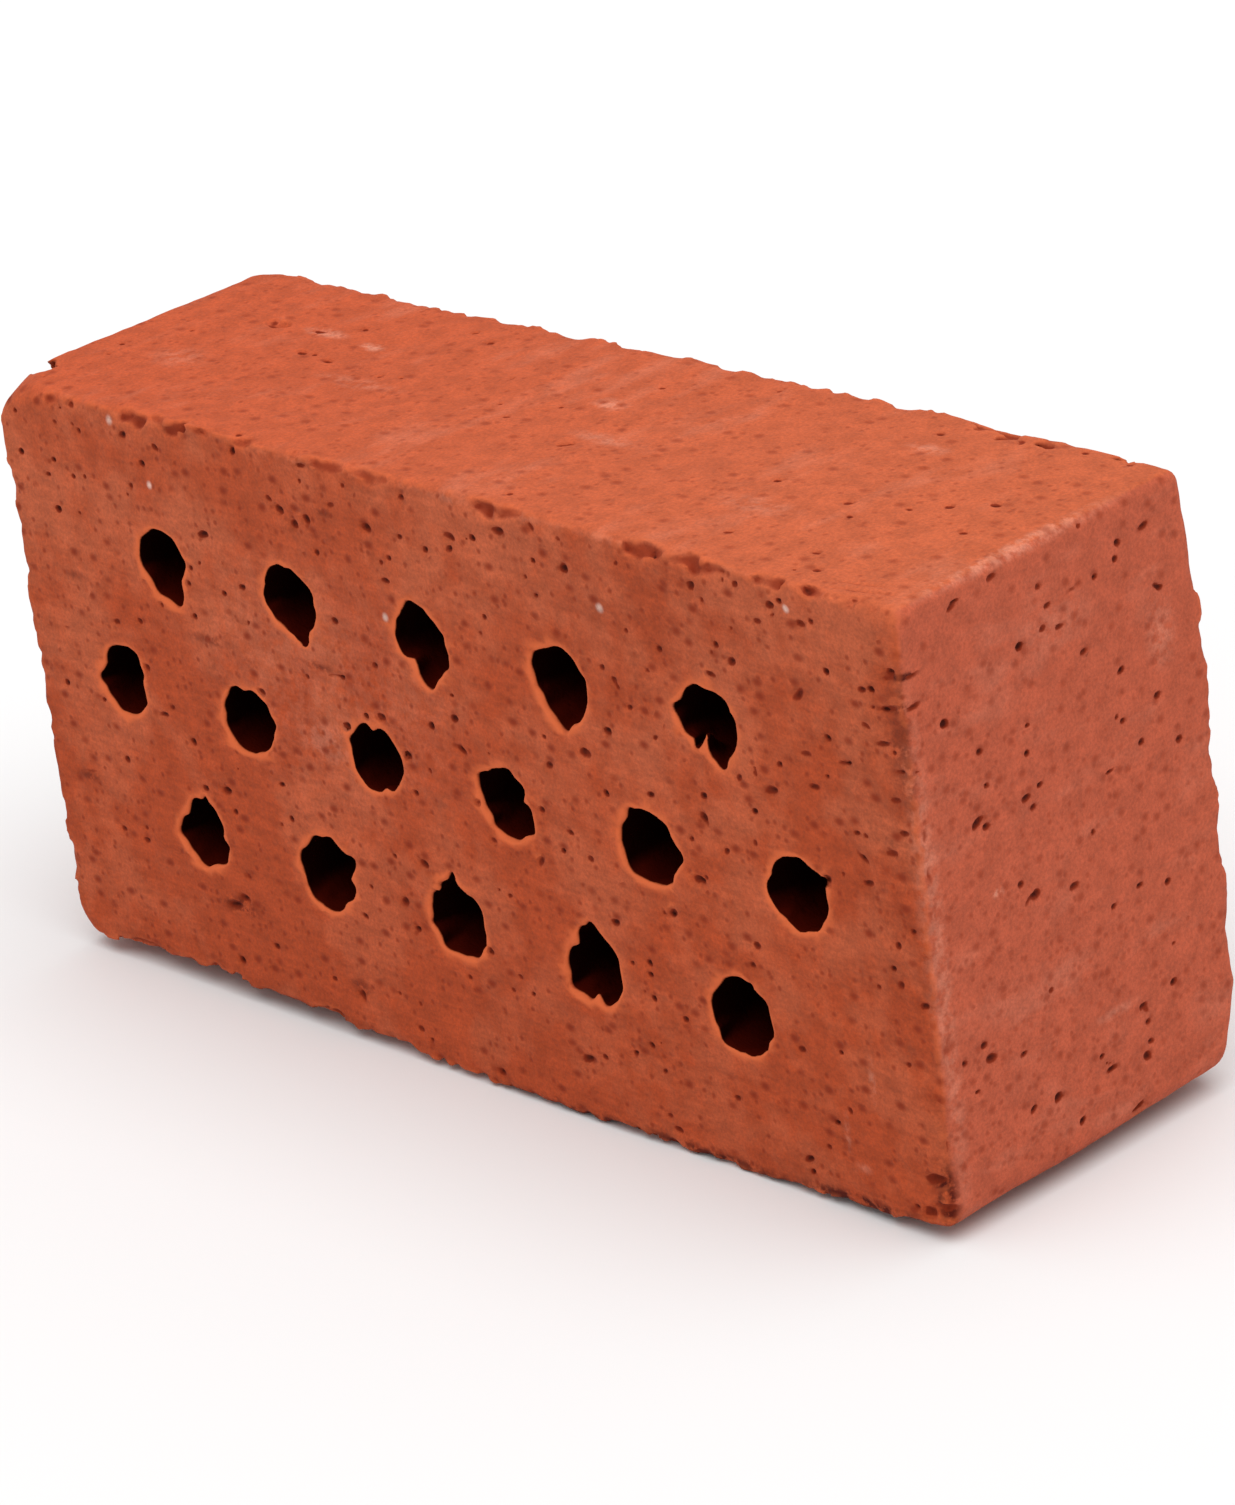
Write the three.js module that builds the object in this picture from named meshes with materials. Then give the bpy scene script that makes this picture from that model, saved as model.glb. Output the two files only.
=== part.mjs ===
// Perforated clay brick: one fired piece, cut by wire from an extruded column of clay.
//
// The brick stands on a stretcher face. +X runs along its length, +Y through its thickness, which
// is the direction of extrusion and of the cores, and +Z is up. The origin is the middle of the
// face it stands on. Sizes are in millimetres.

import * as THREE from "three";

// Work size: the whole brick, corner to corner.
const LENGTH = 215;
const WIDTH = 102.5;
const THICKNESS = 65;

// Radii of the four arrises that run with the cores, as the die has shaped them and wear has left
// them.
const ARRIS_RADII = { lowerLeft: 2, lowerRight: 4.5, upperRight: 2, upperLeft: 3 };

// Both bed faces and every core mouth end in a small worn edge.
const EDGE_WEAR = 0.6;

// Cores: rows from the top down, each row centred on the brick and half a pitch off the next.
const CORES_PER_ROW = [5, 6, 5];
const CORE_RADIUS = 6;
const CORE_PITCH = 33;
const ROW_SPACING = 24.3;

// Each rounded arris is drawn with twice this many chords, and so is each core.
const CURVE_SEGMENTS = 14;

const FIRED_CLAY = { name: "fired_clay", color: 0xb4563a, roughness: 0.9, metalness: 0 };

// The bed face's outline: a rectangle standing on y = 0, with each corner rounded by its own radius.
function bedOutline() {
  const right = LENGTH / 2;
  const left = -right;
  const { lowerLeft, lowerRight, upperRight, upperLeft } = ARRIS_RADII;
  const quarter = Math.PI / 2;
  const outline = new THREE.Shape();
  outline.moveTo(left + lowerLeft, 0);
  outline.lineTo(right - lowerRight, 0);
  outline.absarc(right - lowerRight, lowerRight, lowerRight, -quarter, 0);
  outline.lineTo(right, WIDTH - upperRight);
  outline.absarc(right - upperRight, WIDTH - upperRight, upperRight, 0, quarter);
  outline.lineTo(left + upperLeft, WIDTH);
  outline.absarc(left + upperLeft, WIDTH - upperLeft, upperLeft, quarter, 2 * quarter);
  outline.lineTo(left, lowerLeft);
  outline.absarc(left + lowerLeft, lowerLeft, lowerLeft, 2 * quarter, 3 * quarter);
  return outline;
}

// The middle of every core, as [along the length, above the resting face].
function coreCentres() {
  const middleRow = (CORES_PER_ROW.length - 1) / 2;
  return CORES_PER_ROW.flatMap((count, row) =>
    Array.from({ length: count }, (_, index) => [
      (index - (count - 1) / 2) * CORE_PITCH,
      WIDTH / 2 + (middleRow - row) * ROW_SPACING,
    ]),
  );
}

function core([x, y]) {
  const circle = new THREE.Path();
  circle.absarc(x, y, CORE_RADIUS, 0, 2 * Math.PI, true);
  return circle;
}

// The column's section with its cores, extruded for one brick's thickness between its worn edges.
function brickGeometry() {
  const section = bedOutline();
  section.holes = coreCentres().map(core);
  const geometry = new THREE.ExtrudeGeometry(section, {
    depth: THICKNESS - 2 * EDGE_WEAR,
    curveSegments: CURVE_SEGMENTS,
    bevelThickness: EDGE_WEAR,
    bevelSize: EDGE_WEAR,
    bevelOffset: -EDGE_WEAR,
    bevelSegments: 1,
  });
  // The extrusion runs along +Z from the section, so it is turned to run along Y, half each side.
  geometry.rotateX(Math.PI / 2);
  geometry.translate(0, THICKNESS / 2 - EDGE_WEAR, 0);
  return geometry;
}

const brick = new THREE.Mesh(brickGeometry(), new THREE.MeshStandardMaterial(FIRED_CLAY));
brick.name = "brick_body";

const model = new THREE.Group();
model.add(brick);

export default model;
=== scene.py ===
"""The looks of a perforated clay brick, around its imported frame.

The brick is carved as a field of signed distances on a grid of voxels: below zero in the clay and
above zero outside it. The field's zero surface becomes one closed mesh, which stands for the CAD
node. Everything up to that mesh is in millimetres, in the frame's own axes: x along the length,
y through the thickness and along the cores, z up. The front bed face is the one at -y.
"""

import math

import bpy
import numpy as np
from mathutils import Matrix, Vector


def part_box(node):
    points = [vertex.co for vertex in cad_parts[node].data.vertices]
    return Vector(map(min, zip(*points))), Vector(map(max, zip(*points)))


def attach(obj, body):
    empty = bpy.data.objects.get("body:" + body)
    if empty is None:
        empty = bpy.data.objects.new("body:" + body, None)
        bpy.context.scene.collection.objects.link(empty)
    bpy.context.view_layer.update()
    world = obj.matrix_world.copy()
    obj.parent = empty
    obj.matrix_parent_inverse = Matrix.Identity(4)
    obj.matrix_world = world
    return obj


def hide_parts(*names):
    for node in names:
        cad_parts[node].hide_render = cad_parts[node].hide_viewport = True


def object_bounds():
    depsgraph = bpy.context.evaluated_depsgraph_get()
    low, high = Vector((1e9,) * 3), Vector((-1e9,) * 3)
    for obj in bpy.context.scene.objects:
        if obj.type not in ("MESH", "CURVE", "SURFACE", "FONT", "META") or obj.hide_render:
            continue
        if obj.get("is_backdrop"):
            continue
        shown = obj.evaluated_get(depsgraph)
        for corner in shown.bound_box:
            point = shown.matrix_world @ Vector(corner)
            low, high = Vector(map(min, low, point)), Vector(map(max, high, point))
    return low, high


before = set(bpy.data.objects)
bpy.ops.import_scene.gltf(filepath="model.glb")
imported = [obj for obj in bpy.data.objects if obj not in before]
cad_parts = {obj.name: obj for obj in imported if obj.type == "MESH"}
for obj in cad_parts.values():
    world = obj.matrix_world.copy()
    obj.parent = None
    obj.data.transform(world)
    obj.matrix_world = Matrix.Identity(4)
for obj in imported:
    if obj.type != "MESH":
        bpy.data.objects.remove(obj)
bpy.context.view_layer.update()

import openvdb
from mathutils import Quaternion, Vector

MM = 0.001
NODE = "brick_body"

# ---------------------------------------------------------------- sizes, in millimetres

LOW, HIGH = (np.array(corner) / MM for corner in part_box(NODE))
LENGTH, THICKNESS, HEIGHT = HIGH - LOW
MIDDLE = HEIGHT / 2

VOXEL = 0.42
MARGIN = 3.0
TRIANGLES = 196_000

# Radii of the arrises that run with the cores.
ARRIS_RADII = {
    ("left", "bottom"): 2.0,
    ("left", "top"): 2.2,
    ("right", "bottom"): 4.5,
    ("right", "top"): 2.0,
}

# The arrises round the bed faces: their radius and how far it varies, the least and the most it
# can be, and how far in from them the clay crumbles.
BED_ARRIS_RADIUS = 0.8
BED_ARRIS_VARIATION = 0.5
BED_ARRIS_LIMITS = (0.2, 2.2)
CRUMBLE_REACH = 1.5
LUMP_SIZE = 5.0
# What is lost there: lumps by so much of their spread, and crumbs, as (how deep, how large).
LUMPS_LOST = 0.2
CRUMBS = {"crumbs": (0.35, 2.4), "small crumbs": (0.25, 1.1)}

# Cores: rows from the top down. The die's bridge has let the whole grid slip and turn a little.
CORES_PER_ROW = (5, 6, 5)
CORE_RADIUS = 6.1
CORE_PITCH = 32.8
ROW_SPACING = 24.3
GRID_SLIP = (-1.7, 0.3)
GRID_TURN = math.radians(-0.2)

# How far each corner of this brick strays from the square, as (x, y, z).
CORNER_STRAY = {
    ("left", "front", "top"): (0.3, 1.0, 0.9),
    ("right", "front", "top"): (0.5, 0.4, -0.1),
    ("left", "front", "bottom"): (-0.1, -0.4, -0.2),
    ("right", "front", "bottom"): (-0.5, -1.2, -1.7),
    ("left", "back", "top"): (-1.7, -0.2, 0.3),
    ("right", "back", "top"): (0.1, 0.4, 0.0),
    ("right", "back", "bottom"): (0.3, 2.1, 0.3),
}
# How far the front lower arris sags between its corners, and how far to the right it is lowest:
# a skew of 1 would have that in the middle.
LOWER_FRONT_SAG = 2.5
SAG_SKEW = 1.9

# Chips out of the bed faces' long arrises: how far in along y and z each arris's chips reach, and
# where each runs from and to along x.
ARRIS_CHIPS = {
    ("front", "top"): (1.1, 1.9, (
        (-94, -86), (-74, -68), (-61, -57), (-26, -15), (-13, -5), (16, 21), (49, 57), (60, 71),
        (80, 84), (87, 96), (97, 106),
    )),
    ("back", "top"): (4.0, 1.3, ((69, 83), (96, 100))),
    ("front", "bottom"): (2.0, 1.5, ((-77, -60), (-43, -34), (26, 44), (97, 106))),
}

# Chips at random: how many there are to an arris, and the least and the most that they reach along
# x, y and z. They keep this far from the corners.
CHIPS_ALONG = (12, (1.5, 0.5, 0.5), (4.5, 1.1, 1.1))
CHIPS_UP = (6, (0.3, 0.3, 1.5), (0.8, 0.8, 3.5))
CHIP_INSET = 12.0
# How rough a chip is, as a share of its size.
CHIP_ROUGHNESS = 0.3

# A flake off the left upper arris, as its middle and its reach along x, y and z.
FLAKE = ((LOW[0] + 1.6, -22.5, HIGH[2] - 1.6), (3.8, 2.7, 3.8))

# Corners knocked off, each as the clay lost along x, y and z.
KNOCKED_CORNERS = {
    ("left", "front", "bottom"): (2.6, 2.2, 2.6),
    ("left", "front", "top"): (9.0, 11.0, 5.5),
    ("left", "back", "top"): (5.0, 2.5, 2.0),
    ("right", "back", "top"): (24.0, 1.6, 12.0),
    ("right", "back", "bottom"): (14.0, 5.0, 16.0),
}
KNOCK_ROUNDING = 2.0

# The waves of each kind of face, as (how far they sink it, their lengths along its two axes). On a
# face that slid along the die the first length is the one along y.
WIRE_CUT_WAVES = ((0.22, (45, 30)), (0.10, (9, 6)), (0.05, (12, 1.2)), (0.05, (1.6, 1.3)))
DIE_WAVES = ((0.16, (30, 30)), (0.08, (7, 7)), (0.04, (40, 3)), (0.035, (1.5, 1.5)))

# How many random pits are tried on each face, the share of them that a die face keeps, how far they
# stay from the arrises, and their radii: the least, the scale of the gamma distribution above it,
# and the most.
RANDOM_PITS = {"front": 500, "back": 500, "top": 60, "bottom": 160, "right": 60, "left": 130}
DIE_FACE_SHARE = 0.5
PIT_INSET = 2.0
PIT_RADII = (0.46, 0.15, 1.0)
# How deep a pit is for its radius, and how ragged its outline.
PIT_DEPTH = 1.0
PIT_RAGGEDNESS = 0.2

# How far in a mouth's shape reaches, how grainy a core's wall is, and how much more so its mouth.
MOUTH_DEPTH = 3.2
WALL_GRAIN = 0.06
MOUTH_GRAIN = 0.13
MOUTH_ROUNDING = 0.7
# How far about a core's axis the clay can be changed by it.
CORE_SURROUND = 12.0

# What the wire and the clay's grit left of each front core mouth, rows from the top down and
# from the left in each row: how far the mouth was dragged off its core along x and z, how much
# wider it is, then its tears, each as (direction in degrees from +x towards +z, how far it is
# torn out, half its width in degrees). A tear of less than nothing is clay left standing.
FRONT_MOUTHS = (
    (
        (-0.1, 0.0, 0.0, (292, 1.2, 15), (338, -1.3, 18), (218, -1.0, 22)),
        (-0.5, -0.1, 0.0, (287, 1.8, 11), (230, -0.9, 25), (60, -0.5, 20)),
        (-0.4, -0.3, 0.1, (275, 1.6, 13), (232, -2.5, 18), (50, -0.8, 22), (110, 0.9, 22)),
        (-0.2, -0.4, 0.1, (270, 1.4, 12), (212, -1.1, 20), (150, 0.7, 15)),
        (0.1, 0.1, 0.0, (254, -4.8, 13), (220, -1.4, 14), (168, 1.1, 12), (82, -0.8, 22), (293, 1.0, 10)),
    ),
    (
        (0.7, 0.0, 0.0, (58, 1.0, 18), (150, -1.1, 18), (188, 1.0, 11), (0, -1.2, 16)),
        (0.6, 0.0, 0.1, (85, -1.2, 14), (8, 1.0, 18), (300, -0.5, 25)),
        (0.2, 0.3, 0.0, (88, -1.0, 11), (293, -1.2, 14), (20, 0.7, 20)),
        (-0.3, 0.4, 0.0, (25, -1.7, 12), (152, 0.7, 16), (330, 0.8, 18), (210, -0.7, 12)),
        (-0.2, 0.4, 0.1, (3, 1.2, 11), (122, 0.8, 8), (215, 0.8, 14), (275, -0.6, 20)),
        (-0.5, 0.0, 0.0, (58, -0.7, 16), (232, -0.8, 16), (190, 0.5, 15)),
    ),
    (
        (0.3, -0.2, 0.1, (75, 1.2, 7), (145, -1.4, 22), (192, 1.1, 12), (5, -1.2, 13), (258, 0.8, 12)),
        (-0.1, 0.4, 0.7, (32, 1.5, 11), (8, -0.8, 9), (130, -0.8, 25), (218, 0.9, 22), (315, -0.8, 16)),
        (-0.2, 0.6, 0.5, (92, 1.6, 9), (135, -0.7, 22), (193, 0.8, 8), (228, 0.6, 9)),
        (-0.4, 0.7, 0.2, (90, 1.8, 9), (138, -1.5, 20), (210, 1.3, 13), (265, -1.7, 12)),
        (0.1, 0.5, 0.5, (228, 1.0, 13), (128, -0.7, 22), (270, -0.5, 11)),
    ),
)

# Pits that stand out, as (along the face, up the face, radius, stretch). A stretched pit is a
# drag mark, which climbs a little as it runs along the face.
WIRE_CLIMB = 0.15
DIE_CLIMB = 0.2
FRONT_PITS = (
    (35, 95, 1.1, 1.3), (81, 98, 0.8, 1.4), (74, 100, 0.7, 1.3), (64, 98, 1.0, 1.4),
    (83, 99, 0.8, 1.4), (98, 101, 0.9, 1.4), (105, 92, 1.1, 1.4), (105, 91, 0.7, 2.5),
    (-12, 93, 1.0, 1.3), (-4, 93, 0.7, 1.3), (2, 92, 0.8, 1.3), (-26, 86, 0.8, 1.3),
    (71, 87, 0.8, 1.3), (55, 86, 0.7, 1.4), (-87, 101, 0.8, 1.3), (-103, 90, 1.0, 1.3),
    (-94, 90, 0.8, 1.3), (-95, 81, 1.0, 1.4), (-52, 74, 0.8, 1.3), (-47, 76, 0.8, 1.7),
    (-60, 77, 0.7, 1.3), (-61, 74, 0.7, 1.3), (44, 79, 0.8, 1.3), (-76, 56, 0.8, 1.3),
    (-73, 48, 0.8, 2.3), (-65, 36, 0.8, 1.3), (-59, 37, 1.1, 1.5), (37, 37, 1.0, 1.3),
    (49, 61, 0.8, 1.4), (-15, 60, 0.8, 1.7), (58, 49, 1.1, 1.3), (27, 47, 0.8, 1.3),
    (4, 64, 1.0, 1.5), (23, 53, 0.8, 1.3), (-100, 48, 0.8, 1.3), (-90, 47, 0.7, 1.4),
    (40, 31, 0.7, 1.3), (51, 24, 0.8, 1.4), (-84, 22, 0.7, 1.7), (-62, 15, 1.1, 2.5),
    (-59, 17, 1.0, 1.7), (-25, 65, 0.4, 8.0), (-97, 59, 0.4, 6.0), (-97, 32, 0.4, 6.0),
    (93, 75, 0.5, 4.0), (85, 75, 0.6, 2.2), (104, 86, 0.7, 3.0), (102, 80, 0.7, 2.6),
    (105, 76, 0.7, 2.3), (103, 71, 0.7, 2.6), (104, 66, 0.7, 2.1), (94, 64, 0.7, 1.9),
    (101, 62, 0.7, 2.1), (95, 56, 0.7, 1.8), (104, 50, 0.7, 1.3), (99, 43, 0.8, 1.3),
    (105, 38, 0.7, 1.6), (4, 68, 0.6, 1.5), (26, 61, 0.8, 1.3), (41, 70, 1.0, 1.4),
    (-15, 69, 0.7, 1.4), (72, 63, 0.8, 1.3), (51, 42, 0.8, 1.4), (44, 30, 0.8, 1.3),
    (68, 37, 0.7, 1.3), (-37, 8, 0.7, 1.4), (-30, 7, 0.9, 1.6), (-52, 10, 0.7, 1.4),
    (38, 15, 0.7, 1.4), (77, 25, 0.7, 1.5), (83, 14, 0.8, 1.5),
    (104, 9, 1.4, 1.9), (105.5, 4, 1.6, 1.7), (102, 3, 1.2, 1.6),
)
RIGHT_PITS = (
    (-7, 87, 1.1, 1.3), (10, 92, 0.7, 1.4), (5, 92, 0.4, 5.0), (15, 93, 0.7, 1.3),
    (-8, 70, 0.7, 1.3), (-9, 63, 0.8, 1.6), (-6, 64, 0.7, 1.6), (-18, 62, 0.8, 1.3),
    (13, 67, 0.7, 1.3), (21, 68, 0.7, 1.7), (14, 75, 0.9, 1.3), (25, 59, 0.7, 1.3),
    (-9, 47, 0.9, 1.3), (-12, 50, 0.7, 1.3), (-1, 45, 0.7, 1.9), (13, 39, 0.7, 1.9),
    (7, 38, 0.6, 1.3), (-23, 28, 0.7, 1.3), (18, 20, 0.7, 1.3), (1, 15, 0.7, 1.3),
    (-20, 99, 0.7, 2.3), (-12, 100, 0.7, 2.1), (8, 101, 0.7, 1.5), (22, 96, 0.7, 2.1),
    (24, 85, 0.7, 1.3), (9, 60, 0.6, 2.6), (-15, 23, 0.6, 1.6), (8, 2.5, 1.4, 1.5),
    (-30.5, 91, 0.6, 3.5), (-30.5, 86, 0.6, 3.5), (-31, 76, 0.5, 2.0),
)
TOP_PITS = (
    (-81, 12, 1.7, 2.1), (-66, 4, 1.1, 1.3), (93, 6, 1.0, 1.3), (87, 2, 0.8, 1.3),
    (72, -5, 0.8, 1.4), (96, -5, 0.8, 1.3), (55, -3, 0.8, 1.3), (96, -27, 0.4, 16.0),
    (98, -29, 0.4, 18.0),
)

# White grains of lime on the front bed face, as (x, z, radius).
LIME_GRAINS = ((-76, 101, 1.3), (-67, 91, 1.0), (43, 90, 1.2), (-10, 78, 1.1), (85, 98, 1.0))

# Pale blooms of salt, each as (its place, its reach along x, y and z, its strength). The long thin ones
# along the upper front arris, the header's upper arris and the header's front arris are painted
# highlights.
BLOOMS_AND_HIGHLIGHTS = (
    ((-70, 13, HEIGHT), (7, 2.5, 4), 0.55), ((-57, 12, HEIGHT), (4, 2, 4), 0.6),
    ((4, 10, HEIGHT), (5, 3.5, 4), 0.45), ((67, 19, HEIGHT), (6, 3, 4), 0.35),
    ((15, -2, HEIGHT), (10, 3, 4), 0.3), ((-45, -2, HEIGHT), (14, 3, 4), 0.25),
    ((60, -12, HEIGHT), (12, 4, 4), 0.25), ((-85, -8, HEIGHT), (9, 6, 4), 0.2),
    ((10, -32.5, HEIGHT), (110, 1.6, 1.6), 0.35), ((-28, -33, 63), (48, 5, 32), 0.1),
    ((92, -32, 21), (1.2, 3, 6), 0.5), ((85, -32, 10), (1.2, 3, 6), 0.4),
    ((88, -32, 5), (3, 3, 1.5), 0.4), ((-30, -32, 52), (9, 3, 5), 0.2),
    ((107, -17, 50), (3, 1.8, 1.2), 0.7), ((107, 24, 78), (3, 5, 9), 0.3),
    ((107, -31, 45), (3, 3, 62), 0.3), ((107, 2, 88), (3, 12, 6), 0.2),
    ((107, -6, 102), (2.2, 32, 2), 0.5), ((107, 5.5, 20.5), (3, 7, 1.5), 0.3),
)

# Dark stains and streaks, each as (its place, its reach along x, y and z, its strength). Those along the
# lower arrises and at the lower front right corner, under the upper front arris and in the flake's hollow
# are painted shade; those on the drag marks and the header's pits are partly painted shade, partly the
# clay's darker colour.
STAINS_AND_SHADE = (
    ((88, -33, -2.4), (22, 5, 3.2), 1.0), ((105, -33, 5), (2.8, 3, 10), 0.8),
    ((40, -33, -3.2), (60, 4, 2.8), 0.8), ((-60, -33, -1.6), (50, 4, 2.4), 0.7),
    ((108, 0, -1), (4, 36, 2.4), 0.7), ((-106, -22.5, 101), (4, 4, 4), 1.0),
    ((-20, -33, 103), (90, 2.5, 3), 0.4), ((107, -33, 80), (5, 3, 18), 0.45),
    ((-108, -33, 40), (2.5, 3, 60), 0.35), ((-57, -33, 65), (8, 3, 1.3), 0.4),
    ((-29, -33, 65.5), (7, 3, 1.3), 0.45), ((-92, -33, 70), (5, 3, 1.3), 0.35),
    ((-98, -33, 31), (5, 3, 1.4), 0.4), ((-60, -33, 14.5), (7, 3, 3), 0.6),
    ((-30, -33, 7), (4, 3, 2), 0.4), ((-22, -33, 94), (4, 3, 1.3), 0.4),
    ((50, -33, 90), (55, 4, 24), 0.09), ((100, -33, 55), (16, 4, 60), 0.12),
    ((107, -31, 91), (3, 4, 1), 0.8), ((107, -32, 86), (3, 5, 1), 0.8),
)


def stream(name):
    """A seeded source of random numbers of its own for each feature."""
    return np.random.default_rng(list(name.encode()))


# ---------------------------------------------------------------- the grid and its noise

AXES = tuple(
    np.arange(low - MARGIN, high + MARGIN + VOXEL, VOXEL, dtype=np.float32)
    for low, high in zip(LOW, HIGH)
)
X, Y, Z = AXES
X3, Y3, Z3 = X[:, None, None], Y[None, :, None], Z[None, None, :]


def spline_weights(coords, cell):
    """Weights that blend a lattice of this cell size smoothly into values at the coordinates."""
    place = (coords - coords[0]) / cell
    first = np.floor(place).astype(int)
    t = place - first
    rows = np.arange(len(coords))
    weights = np.zeros((len(coords), first[-1] + 4), np.float32)
    weights[rows, first] = (1 - t) ** 3 / 6
    weights[rows, first + 1] = (3 * t**3 - 6 * t**2 + 4) / 6
    weights[rows, first + 2] = (-3 * t**3 + 3 * t**2 + 3 * t + 1) / 6
    weights[rows, first + 3] = t**3 / 6
    return weights


def noise(axes, cells, rng):
    """Smooth random values around 0, spread 1, with lumps of the given size along each axis."""
    weights = [spline_weights(axis, cell) for axis, cell in zip(axes, cells)]
    values = rng.standard_normal([w.shape[1] for w in weights]).astype(np.float32)
    for w in weights:
        values = np.tensordot(values, w, axes=(0, 1))
    return values / values.std()


def smooth_max(a, b, width):
    """The larger of two distances, rounded off where they come within width of each other."""
    overlap = np.maximum(width - np.abs(a - b), 0)
    return np.maximum(a, b) + overlap**2 / (4 * width)


def window(axis, centre, reach):
    """The slice of an axis's grid lines within reach of the centre."""
    return slice(*np.searchsorted(axis, (centre - reach, centre + reach)))


# ---------------------------------------------------------------- the relief of each face


def waves(axes, kinds, rng):
    """A sum of waves, each as (how far they sink the face, their lengths along its two axes)."""
    return sum(depth * noise(axes, lengths, rng) for depth, lengths in kinds)


def pit_depths(axes, pits, rng):
    """How far a face's pits, each (along, up, radius, stretch, turn), sink it."""
    depths = np.zeros([len(axis) for axis in axes], np.float32)
    ragged = 1 + PIT_RAGGEDNESS * noise(axes, (1.2, 1.2), rng).clip(-1.5, 1.5)
    for along, up, radius, stretch, turn in pits:
        # Its raggedness can carry a pit's edge out to 1.43 of its radius.
        reach = 1.5 * radius * stretch
        i = window(axes[0], along, reach)
        j = window(axes[1], up, reach)
        du = axes[0][i, None] - along
        dv = axes[1][None, j] - up
        lengthwise = (du * math.cos(turn) + dv * math.sin(turn)) / (radius * stretch)
        crosswise = (dv * math.cos(turn) - du * math.sin(turn)) / radius
        spread = np.hypot(lengthwise, crosswise) * ragged[i, j]
        bowl = PIT_DEPTH * radius * np.clip(1 - spread**2, 0, 1) ** 1.25
        depths[i, j] = np.maximum(depths[i, j], bowl)
    return depths


def scattered_pits(axes, count, chance, rng):
    """Small pits at random, each kept with the chance that its place gives it."""
    inset = MARGIN + PIT_INSET
    spans = [(axis[0] + inset, axis[-1] - inset) for axis in axes]
    places = np.column_stack([rng.uniform(*span, count) for span in spans])
    kept = places[rng.random(count) < chance(*places.T)]
    least, scale, most = PIT_RADII
    radii = np.minimum(least + rng.gamma(1.5, scale, len(kept)), most)
    stretches = 1.2 + rng.random(len(kept)) ** 3
    turns = rng.normal(0, 0.35, len(kept))
    return np.column_stack([kept, radii, stretches, turns])


def bed_relief(name, marks=()):
    """How far a wire-cut bed face is sunk, by its waves, the wire's drag and its pits."""
    axes = (X, Z)
    rng = stream(name)

    def chance(x, z):
        """Grit shows more towards the right end and the top."""
        return np.clip(0.25 + 0.4 * x / LENGTH + 0.4 * (z / HEIGHT) ** 3, 0.05, 1)

    relief = waves(axes, WIRE_CUT_WAVES, rng)
    relief += pit_depths(axes, scattered_pits(axes, RANDOM_PITS[name], chance, rng), rng)
    return relief + pit_depths(axes, [(*mark, WIRE_CLIMB) for mark in marks], rng)


def die_relief(name, axes, marks=()):
    """How far a face that slid along the die is sunk, by its waves, striations and pits."""
    rng = stream(name)

    def chance(u, v):
        return np.full_like(u, DIE_FACE_SHARE)

    turned = [(depth, lengths if axes[0] is Y else lengths[::-1]) for depth, lengths in DIE_WAVES]
    relief = waves(axes, turned, rng)
    relief += pit_depths(axes, scattered_pits(axes, RANDOM_PITS[name], chance, rng), rng)
    return relief + pit_depths(axes, [(*mark, DIE_CLIMB) for mark in marks], rng)


# ---------------------------------------------------------------- the body and its arrises


def section_distance(x, z):
    """Distance outside the brick's section, whose four corners have radii of their own."""
    radii = {place: np.float32(radius) for place, radius in ARRIS_RADII.items()}
    left = np.where(z < MIDDLE, radii["left", "bottom"], radii["left", "top"])
    right = np.where(z < MIDDLE, radii["right", "bottom"], radii["right", "top"])
    radius = np.where(x < 0, left, right)
    dx = np.abs(x) - LENGTH / 2 + radius
    dz = np.abs(z - MIDDLE) - MIDDLE + radius
    outside = np.hypot(np.maximum(dx, 0), np.maximum(dz, 0))
    return outside + np.minimum(np.maximum(dx, dz), 0) - radius


def knock_corners(field):
    """Cuts off each knocked corner along a plane through the ends of the clay it lost."""
    for (end, face, level), lost in KNOCKED_CORNERS.items():
        inward_x = X3 - LOW[0] if end == "left" else HIGH[0] - X3
        inward_y = Y3 - LOW[1] if face == "front" else HIGH[1] - Y3
        inward_z = Z3 - LOW[2] if level == "bottom" else HIGH[2] - Z3
        share = inward_x / lost[0] + inward_y / lost[1] + inward_z / lost[2]
        beyond = (1 - share) / math.hypot(*(1 / length for length in lost))
        field = smooth_max(field, beyond.astype(np.float32), KNOCK_ROUNDING)
    return field


def body_field():
    """The brick without its cores: six faces with their relief, and crumbling arrises."""
    front = bed_relief("front", FRONT_PITS)
    back = bed_relief("back")
    top = die_relief("top", (X, Y), TOP_PITS)
    bottom = die_relief("bottom", (X, Y))
    right = die_relief("right", (Y, Z), RIGHT_PITS)
    left = die_relief("left", (Y, Z))
    x = X3 + np.where(X3 > 0, right[None], -left[None])
    z = Z3 + np.where(Z3 > MIDDLE, top[:, :, None], -bottom[:, :, None])
    section = section_distance(x, z).astype(np.float32)
    bed = np.maximum(LOW[1] + front[:, None] - Y3, Y3 - HIGH[1] + back[:, None])
    lumps = noise(AXES, (LUMP_SIZE, LUMP_SIZE, LUMP_SIZE), stream("lumps"))
    rounding = np.clip(BED_ARRIS_RADIUS + BED_ARRIS_VARIATION * lumps, *BED_ARRIS_LIMITS)
    field = smooth_max(section, bed, rounding)
    lost = LUMPS_LOST * lumps.clip(-0.5)
    for name, (depth, size) in CRUMBS.items():
        lost += depth * noise(AXES, (size, size, size), stream(name)).clip(0)
    field += lost * np.exp(-(section**2 + bed**2) / CRUMBLE_REACH**2)
    return knock_corners(field)


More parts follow.
